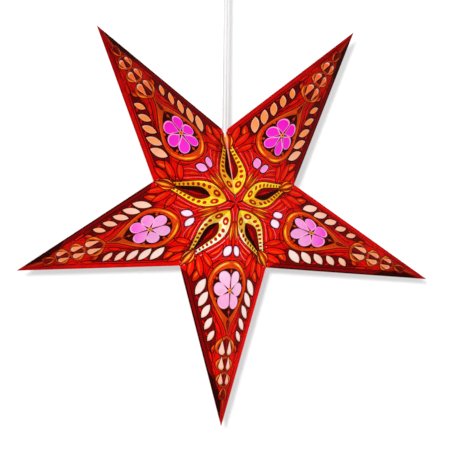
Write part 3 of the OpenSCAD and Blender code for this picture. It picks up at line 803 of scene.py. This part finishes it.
def spread(t, value, low, high, start=0.0, end=1.0):
    """A value from start to end, spread over low to high."""
    n = t.nodes.new("ShaderNodeMapRange")
    n.inputs["From Min"].default_value = start
    n.inputs["From Max"].default_value = end
    n.inputs["To Min"].default_value = low
    n.inputs["To Max"].default_value = high
    t.links.new(value, n.inputs["Value"])
    return n.outputs[0]


def tinted(t, color, factor):
    """A colour, given or linked, times a factor."""
    n = t.nodes.new("ShaderNodeVectorMath")
    n.operation = "SCALE"
    if isinstance(color, (list, tuple)):
        n.inputs[0].default_value = color[:3]
    else:
        t.links.new(color, n.inputs[0])
    t.links.new(factor, n.inputs["Scale"])
    return n.outputs[0]


def bump(t, shader, height, distance, strength=1.0):
    """Fine relief from a height, too small for the mesh."""
    n = t.nodes.new("ShaderNodeBump")
    n.inputs["Strength"].default_value = strength
    n.inputs["Distance"].default_value = distance
    t.links.new(height, n.inputs["Height"])
    t.links.new(n.outputs[0], shader.inputs["Normal"])


def coordinates(t):
    """Places on the piece in the row frame, in metres."""
    return t.nodes.new("ShaderNodeTexCoord").outputs["Object"]


def paper_material(name, unlit, stops, middle=BULB_AT, rough=0.6, grain=0.07, wrinkle=0.0, brushed=0.0,
                   shared=False):
    """Paper with its colour under room light, and its lit colours by distance from the bulb."""
    m, t, shader = new_material(name)
    base = linear(unlit)
    coords = coordinates(t)
    fine = spread(t, noise_node(t, coords, 1400), 1 - grain, 1 + grain)
    cloudy = spread(t, noise_node(t, coords, 60, 2.0), 0.95, 1.05)
    tone = math_node(t, "MULTIPLY", fine, cloudy)
    if brushed:
        drift = noise_node(t, coords, 105, 5.0, distortion=1.6)
        tone = math_node(t, "MULTIPLY", tone, spread(t, drift, 1 - brushed, 1 + brushed, 0.34, 0.66))
    t.links.new(tinted(t, base, tone), shader.inputs["Base Color"])
    far = t.nodes.new("ShaderNodeVectorMath")
    far.operation = "DISTANCE"
    far.inputs[1].default_value = middle
    t.links.new(coords, far.inputs[0])
    ramp = t.nodes.new("ShaderNodeValToRGB")
    t.links.new(spread(t, far.outputs["Value"], 0.0, 1.0, GLOW_NEAR, GLOW_FAR), ramp.inputs[0])
    while len(ramp.color_ramp.elements) < len(stops):
        ramp.color_ramp.elements.new(0.5)
    for element, (distance, lit) in zip(ramp.color_ramp.elements, stops):
        element.position = (distance - GLOW_NEAR) / (GLOW_FAR - GLOW_NEAR)
        element.color = [max(a - b * LIT_LEVEL, 0) for a, b in zip(linear(lit), base)] + [1]
    level = tone
    if wrinkle:
        folds = spread(t, noise_node(t, coords, 34, 4.0), 1 - wrinkle, 1 + wrinkle)
        fibres = spread(t, noise_node(t, coords, 420, 5.0, (1, 1, 0.35)), 0.9, 1.04, 0.3, 0.7)
        level = math_node(t, "MULTIPLY", folds, fibres)
    if shared:
        share = t.nodes.new("ShaderNodeAttribute")
        share.attribute_name = "glow_share"
        level = math_node(t, "MULTIPLY", level, share.outputs["Fac"])
    t.links.new(tinted(t, ramp.outputs[0], level), shader.inputs["Emission Color"])
    shader.inputs["Emission Strength"].default_value = 1.0
    shader.inputs["Roughness"].default_value = rough
    shader.inputs["Specular IOR Level"].default_value = 0.02
    bump(t, shader, noise_node(t, coords, 900, 4.0), 0.00004, 0.5)
    return m


def ink(name, unlit, near, middle, far, hot=None):
    """Printing ink that glows from the bulb outwards, with a hot colour right before it if given."""
    stops = list(zip(INK_STOPS, (near, middle, far)))
    if hot:
        stops = list(zip(HOT_STOPS, (hot, near))) + stops[1:]
    return paper_material("ink_" + name, unlit, stops, brushed=BRUSHED, shared=True)


def red_ink(name, unlit, near, middle, far):
    """Red ink, whose glow has its middle lower down."""
    stops = list(zip(RED_STOPS, (near, middle, far)))
    return paper_material("ink_" + name, unlit, stops, REDS_AT, brushed=BRUSHED, shared=True)


paper = {
    "red": red_ink("red", (150, 5, 4), (236, 8, 3), (222, 8, 4), (182, 8, 6)),
    "bright": red_ink("bright", (168, 10, 4), (252, 19, 5), (240, 16, 5), (200, 12, 6)),
    "crimson": red_ink("crimson", (98, 3, 5), (210, 6, 7), (196, 6, 7), (148, 4, 6)),
    "maroon": red_ink("maroon", (60, 3, 3), (122, 4, 6), (106, 4, 6), (82, 4, 5)),
    "deep": ink("deep", (38, 4, 3), (124, 4, 6), (104, 5, 8), (60, 6, 6)),
    "dark": red_ink("dark", (32, 4, 2), (60, 6, 3), (50, 6, 3), (42, 6, 3)),
    "ember": ink("ember", (150, 16, 4), (232, 31, 5), (208, 26, 6), (172, 20, 7)),
    "orange": ink("orange", (158, 40, 8), (224, 66, 8), (196, 56, 10), (166, 46, 10), (250, 96, 24)),
    "flame": ink("flame", (176, 60, 10), (244, 104, 14), (220, 84, 14), (186, 64, 12), (255, 140, 50)),
    "amber": ink("amber", (200, 112, 28), (255, 170, 34), (246, 142, 34), (214, 112, 34), (255, 206, 90)),
    "gold": ink("gold", (206, 116, 14), (250, 184, 24), (240, 156, 24), (212, 118, 20), (255, 206, 64)),
    "yellow": ink("yellow", (214, 136, 16), (255, 220, 42), (253, 202, 32), (230, 152, 24), (255, 252, 216)),
    "bead": ink("bead", (140, 12, 6), (216, 26, 4), (190, 18, 6), (150, 14, 8)),
    "pink": ink("pink", (196, 84, 150), (255, 176, 228), (250, 112, 205), (206, 90, 160)),
    "peach": ink("peach", (196, 112, 84), (255, 216, 194), (250, 168, 128), (214, 112, 84)),
    "blush": ink("blush", (190, 50, 50), (250, 116, 116), (232, 84, 84), (196, 56, 56), (255, 180, 180)),
    # Worn folds with a painted highlight, and the flap seen through the seam as a painted glow; the second
    # also prints pale strokes.
    "worn_fold_highlight_seam_glow": ink("worn_fold_highlight_seam_glow", (186, 84, 70), (240, 150, 130), (214, 104, 90), (186, 76, 66), (255, 226, 210)),
    "pale_print_worn_fold_highlight": ink("pale_print_worn_fold_highlight", (150, 26, 20), (236, 62, 46), (206, 46, 34), (164, 30, 24)),
    "inside": paper_material(
        "card_inside", (226, 214, 200), [(0.09, (255, 240, 214)), (0.20, (240, 222, 200))]),
    "cut_edge": paper_material(
        "card_cut_edge", (206, 150, 136), [(0.09, (255, 206, 190)), (0.20, (236, 170, 150))]),
}


def tissue(name, unlit, stops, middle=WINDOWS_AT):
    """Tissue behind the cut-outs, a little crumpled."""
    return paper_material("tissue_" + name, unlit, stops, middle, 0.75, 0.05, 0.16)


TISSUES = {
    "magenta": tissue("magenta", (140, 12, 118), [
        (0.050, (255, 222, 242)), (0.078, (253, 182, 228)), (0.113, (250, 160, 224)),
        (0.128, (249, 112, 220)), (0.145, (248, 46, 214)), (0.20, (242, 14, 192))], PETALS_AT),
    "cream": tissue("cream", (150, 92, 46), [
        (0.09, (255, 228, 222)), (0.140, (254, 208, 188)), (0.172, (253, 184, 146)),
        (0.198, (251, 152, 86)), (0.24, (248, 134, 50))]),
    "orange": tissue("orange", (150, 52, 16), [
        (0.13, (255, 206, 190)), (0.172, (254, 178, 138)), (0.205, (253, 150, 92)),
        (0.24, (252, 122, 56)), (0.29, (248, 98, 30))]),
    "pink": tissue("pink", (150, 70, 120), [
        (0.070, (255, 248, 252)), (0.098, (255, 226, 244)), (0.124, (250, 152, 227)),
        (0.14, (248, 112, 215))], PETALS_AT),
}


def dress(node, material):
    """One material on a piece that stays as the solids have it."""
    for slot in frame["nodes"][node].material_slots:
        slot.material = material


for kind, material in TISSUES.items():
    for arm_name in ARMS:
        dress(kind + "_paper_" + arm_name, material)


# Finishes of the fittings


def moulded(name, color, rough, pebble=0.00002, specular=0.5, coat=0.0):
    """Moulded plastic or ceramic: faint clouding, uneven gloss and a fine pebble."""
    m, t, shader = new_material(name)
    coords = coordinates(t)
    tone = math_node(
        t, "MULTIPLY", spread(t, noise_node(t, coords, 45), 0.97, 1.03),
        spread(t, noise_node(t, coords, 1500, 2.0), 0.985, 1.015))
    t.links.new(tinted(t, color, tone), shader.inputs["Base Color"])
    gloss = spread(t, noise_node(t, coords, 120, 4.0), rough - 0.05, rough + 0.05)
    t.links.new(gloss, shader.inputs["Roughness"])
    shader.inputs["Specular IOR Level"].default_value = specular
    shader.inputs["Coat Weight"].default_value = coat
    bump(t, shader, noise_node(t, coords, 1100, 3.0), pebble, 0.4)
    return m


def drawn_metal(name, color, rough, stretch):
    """Rolled or plated sheet: streaks along one direction, and darker tarnish in clouds."""
    m, t, shader = new_material(name)
    coords = coordinates(t)
    streaks = noise_node(t, coords, 160, 5.0, stretch)
    clouds = spread(t, noise_node(t, coords, 55, 3.0), 0.86, 1.06)
    tone = math_node(t, "MULTIPLY", spread(t, streaks, 0.9, 1.08), clouds)
    t.links.new(tinted(t, color, tone), shader.inputs["Base Color"])
    shader.inputs["Metallic"].default_value = 1.0
    t.links.new(spread(t, streaks, rough - 0.08, rough + 0.1), shader.inputs["Roughness"])
    bump(t, shader, streaks, 0.00002, 0.5)
    return m


def tape_material():
    """Woven tape with a nap of small hooks and loops."""
    m, t, shader = new_material("hook_and_loop_tape")
    coords = coordinates(t)
    nap = t.nodes.new("ShaderNodeTexVoronoi")
    nap.inputs["Scale"].default_value = 900
    t.links.new(coords, nap.inputs["Vector"])
    threads = spread(t, noise_node(t, coords, 400, 4.0), 0.94, 1.04)
    tone = math_node(t, "MULTIPLY", spread(t, nap.outputs["Distance"], 1.04, 0.78), threads)
    t.links.new(tinted(t, (0.82, 0.82, 0.80), tone), shader.inputs["Base Color"])
    shader.inputs["Roughness"].default_value = 0.9
    shader.inputs["Specular IOR Level"].default_value = 0.2
    shader.inputs["Sheen Weight"].default_value = 0.4
    bump(t, shader, nap.outputs["Distance"], 0.0003, 0.8)
    return m


SCREW_CAP = 27.2 * MM
CAP_RIM = 0.1 * MM


def bulb_material():
    """Opal glass that glows, with a pressed metal screw cap above it."""
    m, t, shader = new_material("opal_bulb")
    coords = coordinates(t)
    split = t.nodes.new("ShaderNodeSeparateXYZ")
    t.links.new(coords, split.inputs[0])
    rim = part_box("light_bulb")[1].z - SCREW_CAP
    cap = spread(t, split.outputs["Z"], 0.0, 1.0, rim - CAP_RIM, rim + CAP_RIM)
    clouds = spread(t, noise_node(t, coords, 70, 3.0), 0.96, 1.0)
    colors = t.nodes.new("ShaderNodeMix")
    colors.data_type = "RGBA"
    t.links.new(cap, colors.inputs["Factor"])
    t.links.new(tinted(t, (0.92, 0.89, 0.82), clouds), colors.inputs["A"])
    tarnish = spread(t, noise_node(t, coords, 260), 0.8, 1.1)
    t.links.new(tinted(t, (0.62, 0.56, 0.42), tarnish), colors.inputs["B"])
    t.links.new(colors.outputs["Result"], shader.inputs["Base Color"])
    t.links.new(cap, shader.inputs["Metallic"])
    glow = math_node(t, "MULTIPLY", math_node(t, "SUBTRACT", 1.0, cap), clouds)
    t.links.new(tinted(t, (0.96, 0.86, 0.66), glow), shader.inputs["Emission Color"])
    shader.inputs["Emission Strength"].default_value = 0.5
    t.links.new(spread(t, cap, 0.22, 0.38), shader.inputs["Roughness"])
    return m


FINISHES = {
    ("loop_pads", "hook_pads"): tape_material(),
    ("lampholder_cap", "lampholder_body"): moulded("holder_plastic", (0.84, 0.84, 0.82), 0.38),
    ("contact_carrier",): moulded("carrier_ceramic", (0.84, 0.80, 0.72), 0.62, 0.00005, 0.35),
    ("screw_sleeve", "centre_contact", "terminal_tubes"):
        drawn_metal("brass", (0.74, 0.55, 0.24), 0.3, (1, 1, 12)),
    ("holder_cord_grip", "cup_gland", "cup_gland_nut"): moulded("grip_nylon", (0.80, 0.80, 0.78), 0.5),
    ("light_bulb",): bulb_material(),
    ("ceiling_bracket", "cup_screws"): drawn_metal("zinc_steel", (0.62, 0.64, 0.66), 0.34, (1, 10, 10)),
    ("ceiling_cup",): moulded("cup_plastic", (0.86, 0.86, 0.85), 0.24, 0.00001, 0.5, 0.2),
    ("terminal_block",): moulded("block_nylon", (0.82, 0.78, 0.66), 0.5),
}
for names, material in FINISHES.items():
    for name in names:
        dress(name, material)

for i in range(len(ARMS)):
    arm_object(i)

# Camera, found from the photograph's tips and corners

CAMERA_TURN = -0.213774
CAMERA_TILT = -0.048735
CAMERA_ROLL = -0.011666
CAMERA_FAR = 10.0
AIM_RIGHT = 0.00193
AIM_DOWN = 0.0263
PIXELS_A_MM = 0.736847
PHOTO_WIDTH = 450
SENSOR = 36.0

back = Vector((
    math.sin(CAMERA_TURN) * math.cos(CAMERA_TILT),
    -math.cos(CAMERA_TURN) * math.cos(CAMERA_TILT),
    math.sin(CAMERA_TILT),
))
level = Vector((math.cos(CAMERA_TURN), math.sin(CAMERA_TURN), 0))
upright = back.cross(level)
right = level * math.cos(CAMERA_ROLL) - upright * math.sin(CAMERA_ROLL)
up = level * math.sin(CAMERA_ROLL) + upright * math.cos(CAMERA_ROLL)
aim = Vector((0, 0, STAR_Z * MM)) + right * AIM_RIGHT - up * AIM_DOWN
axes = Matrix((right, up, back)).transposed().to_4x4()

camera = add_object("camera", bpy.data.cameras.new("camera"))
camera.data.sensor_width = SENSOR
camera.data.lens = SENSOR * CAMERA_FAR / MM * PIXELS_A_MM / PHOTO_WIDTH
camera.data.clip_start = 0.5
camera.data.clip_end = 60
camera.matrix_world = Matrix.Translation(aim + back * CAMERA_FAR) @ axes
bpy.context.scene.camera = camera

# Cord, from the lampholder up to the terminal block

CORD_DIAMETER = 0.0055
CORD_SIDES = 28
# It hangs straight, and these are the heights of the points on its route, in millimetres.
ROUTE_LOW, ROUTE_HIGH, ROUTE_STEP = -270, -30, 15


def tube_mesh(name, heights, radius, sides):
    """A closed upright tube, with a ring of points at each height."""
    turns = [math.tau * k / sides for k in range(sides)]
    points = [(radius * math.cos(a), radius * math.sin(a), z) for z in heights for a in turns]
    top = sides * (len(heights) - 1)
    faces = [
        (low + k, low + (k + 1) % sides, low + sides + (k + 1) % sides, low + sides + k)
        for low in range(0, top, sides) for k in range(sides)
    ]
    ends = [tuple(range(sides - 1, -1, -1)), tuple(range(top, top + sides))]
    mesh = bpy.data.meshes.new(name)
    mesh.from_pydata(points, [], faces + ends)
    mesh.polygons.foreach_set("use_smooth", [True] * len(faces) + [False] * len(ends))
    return mesh


cord_low, cord_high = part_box("cord")
cord_route = [(0, 0, cord_low.z)]
cord_route += [(0, 0, z * MM) for z in range(ROUTE_LOW, ROUTE_HIGH + 1, ROUTE_STEP)]
cord_route += [(0, 0, cord_high.z)]
cord = add_object(
    "cord_jacket", tube_mesh("cord_jacket", [p[2] for p in cord_route], CORD_DIAMETER / 2, CORD_SIDES))
cord.data.materials.append(moulded("cord_jacket", (0.93, 0.93, 0.92), 0.42, 0.00001, 0.35))
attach(cord, "root")
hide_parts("cord")

# Studio

# Lengths are in metres, and the widths of the suns in degrees.
BACKDROP_Y = 0.088
BACKDROP_TOP = 1.2
BACKDROP_BEND = 0.5
BACKDROP_HALF = 2.5
BEND_STEPS = 10
FLOOR_Z = -1.5
FLOOR_FRONT = -3.0
BACKDROP_GREY = 0.36
BACKDROP_LIFT = 0.52
WORLD_LEVEL = 0.6
KEY_LEVEL = 1.6
WALL_KEY_LEVEL = 2.2
FILL_LEVEL = 0.9
KEY_WIDTH = 4
FILL_WIDTH = 20
KEY_LEFT = 0.074
KEY_ABOVE = 0.086
FILL_FROM = Vector((0.25, 1, 0.3))


def sweep_mesh():
    """A wall behind the lantern that curves forwards into a floor."""
    profile = [(BACKDROP_Y, BACKDROP_TOP), (BACKDROP_Y, FLOOR_Z + BACKDROP_BEND)]
    for k in range(1, BEND_STEPS + 1):
        a = math.pi / 2 * k / BEND_STEPS
        profile.append((
            BACKDROP_Y - BACKDROP_BEND + BACKDROP_BEND * math.cos(a),
            FLOOR_Z + BACKDROP_BEND - BACKDROP_BEND * math.sin(a)))
    profile.append((FLOOR_FRONT, FLOOR_Z))
    mesh = bpy.data.meshes.new("backdrop")
    points = [(x, y, z) for x in (-BACKDROP_HALF, BACKDROP_HALF) for y, z in profile]
    n = len(profile)
    mesh.from_pydata(points, [], [(k, k + 1, n + k + 1, n + k) for k in range(n - 1)])
    mesh.polygons.foreach_set("use_smooth", [True] * len(mesh.polygons))
    return mesh


def seen_directly(t):
    """1 for rays from the camera, a mirror or glass, and 0 for the rest."""
    rays = t.nodes.new("ShaderNodeLightPath")
    mirrored_too = math_node(t, "MAXIMUM", rays.outputs["Is Camera Ray"], rays.outputs["Is Glossy Ray"])
    return math_node(t, "MAXIMUM", mirrored_too, rays.outputs["Is Transmission Ray"])


def backdrop_material():
    """Matte white paper that can be looked through from behind."""
    m = bpy.data.materials.new("backdrop")
    m.use_nodes = True
    t = m.node_tree
    t.nodes.clear()
    out = t.nodes.new("ShaderNodeOutputMaterial")
    matte = t.nodes.new("ShaderNodeBsdfDiffuse")
    matte.inputs["Color"].default_value = (BACKDROP_GREY, BACKDROP_GREY, BACKDROP_GREY, 1)
    lift = t.nodes.new("ShaderNodeEmission")
    lift.inputs["Color"].default_value = (1, 1, 1, 1)
    t.links.new(math_node(t, "MULTIPLY", seen_directly(t), BACKDROP_LIFT), lift.inputs["Strength"])
    both = t.nodes.new("ShaderNodeAddShader")
    t.links.new(matte.outputs[0], both.inputs[0])
    t.links.new(lift.outputs[0], both.inputs[1])
    through = t.nodes.new("ShaderNodeBsdfTransparent")
    face = t.nodes.new("ShaderNodeNewGeometry")
    mix = t.nodes.new("ShaderNodeMixShader")
    t.links.new(face.outputs["Backfacing"], mix.inputs[0])
    t.links.new(both.outputs[0], mix.inputs[1])
    t.links.new(through.outputs[0], mix.inputs[2])
    t.links.new(mix.outputs[0], out.inputs["Surface"])
    return m


def sun_light(name, level, width, toward):
    """A sun of a strength and a width in degrees, with the direction that it stands in."""
    light = bpy.data.lights.new(name, "SUN")
    light.energy = level
    light.angle = math.radians(width)
    sun = add_object(name, light)
    sun.matrix_world = toward.to_track_quat("Z", "Y").to_matrix().to_4x4()
    return sun


backdrop = add_object("backdrop", sweep_mesh())
backdrop.data.materials.append(backdrop_material())
backdrop.visible_shadow = False

key_from = (back - right * KEY_LEFT + up * KEY_ABOVE).normalized()
sun_light("key", KEY_LEVEL, KEY_WIDTH, key_from)
sun_light("fill", FILL_LEVEL, FILL_WIDTH, FILL_FROM)

# A second sun, for the backdrop alone, makes it white outside one even shadow.
wall_sun = sun_light("wall_key", WALL_KEY_LEVEL, KEY_WIDTH, key_from)
wall = bpy.data.collections.new("wall")
wall.objects.link(backdrop)
wall_sun.light_linking.receiver_collection = wall

# Even light from all around
world = bpy.data.worlds.new("studio")
bpy.context.scene.world = world
world.use_nodes = True
tree = world.node_tree
tree.nodes.clear()
world_out = tree.nodes.new("ShaderNodeOutputWorld")
ambient = tree.nodes.new("ShaderNodeBackground")
ambient.inputs["Color"].default_value = (1, 1, 1, 1)
tree.links.new(spread(tree, seen_directly(tree), WORLD_LEVEL, 1.0), ambient.inputs["Strength"])
tree.links.new(ambient.outputs[0], world_out.inputs["Surface"])

bpy.context.scene.view_settings.view_transform = "Standard"

# The glow of the lantern falls on its own pieces, and leaves the backdrop and the cord neutral.
own_pieces = bpy.data.collections.new("lantern")
for piece in bpy.data.objects:
    if piece.type == "MESH" and piece not in (backdrop, cord):
        own_pieces.objects.link(piece)
for piece in own_pieces.objects:
    piece.light_linking.receiver_collection = own_pieces
